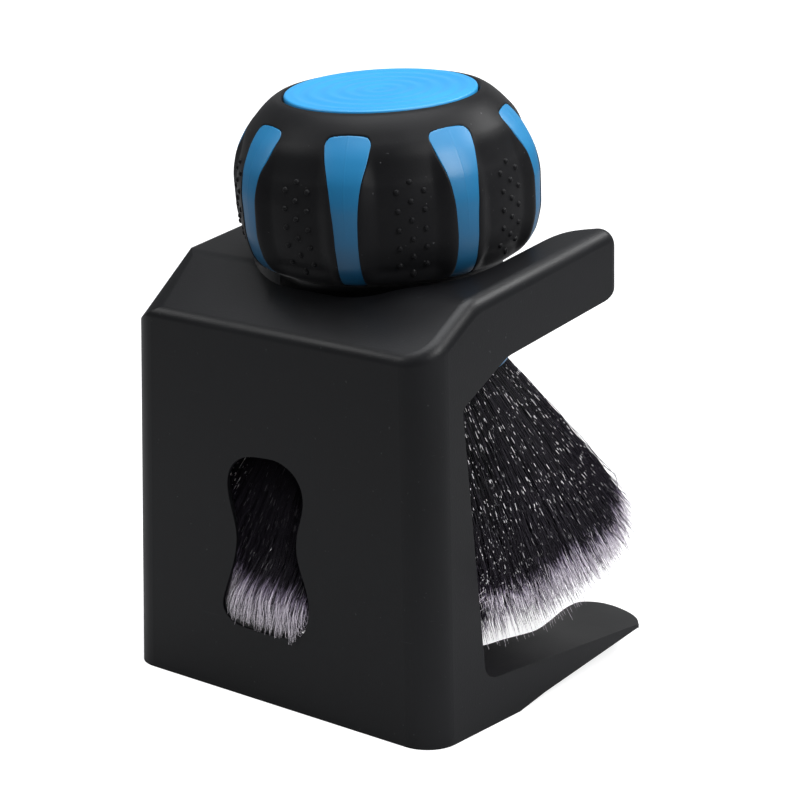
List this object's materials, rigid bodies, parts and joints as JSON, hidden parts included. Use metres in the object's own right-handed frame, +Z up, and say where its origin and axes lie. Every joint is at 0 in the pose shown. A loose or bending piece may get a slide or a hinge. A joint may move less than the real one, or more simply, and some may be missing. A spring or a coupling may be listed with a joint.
{
  "type": "fade brush in stand",
  "caption": "Barber's fade brush: palm-sized knob with striped rubber grip and a wide fan of bristles, hanging in an open-sided moulded stand.",
  "frame": {"origin": "bottom centre of the whole object's box, on the surface the stand rests on", "axes": "+Z up, the stand's windowed front wall faces -Y and its open side, where the brush comes out, faces +Y"},
  "size_m": [0.0966, 0.0908, 0.1281],
  "materials": {
    "stand": "satin black moulded plastic, finely textured",
    "grip_rubber": "soft black over-moulded rubber with raised grip dots",
    "handle_blue": "semi-gloss sky-blue moulded plastic",
    "cap_blue": "semi-gloss sky-blue moulded plastic with rippled rings",
    "bristle": "fine black synthetic filament with pale tips",
    "steel": "zinc-plated steel"
  },
  "bodies": {
    "stand": {"stand_shell": "stand"},
    "brush": {"handle_core": "handle_blue", "grip_cover": "grip_rubber", "top_cap": "cap_blue", "core_screw": "steel", "tuft_block": "handle_blue", "tufts_centre": "bristle", "tufts_ring_1": "bristle", "tufts_ring_2": "bristle", "tufts_ring_3": "bristle", "tufts_ring_4": "bristle", "staples_centre": "steel", "staples_ring_1": "steel", "staples_ring_2": "steel", "staples_ring_3": "steel", "staples_ring_4": "steel"}
  },
  "joints": [
    {"name": "brush_slide", "type": "slide", "parent": "stand", "child": "brush", "axis": [0, 0.9894, 0.1454], "range_m": [0, 0.1]}
  ]
}
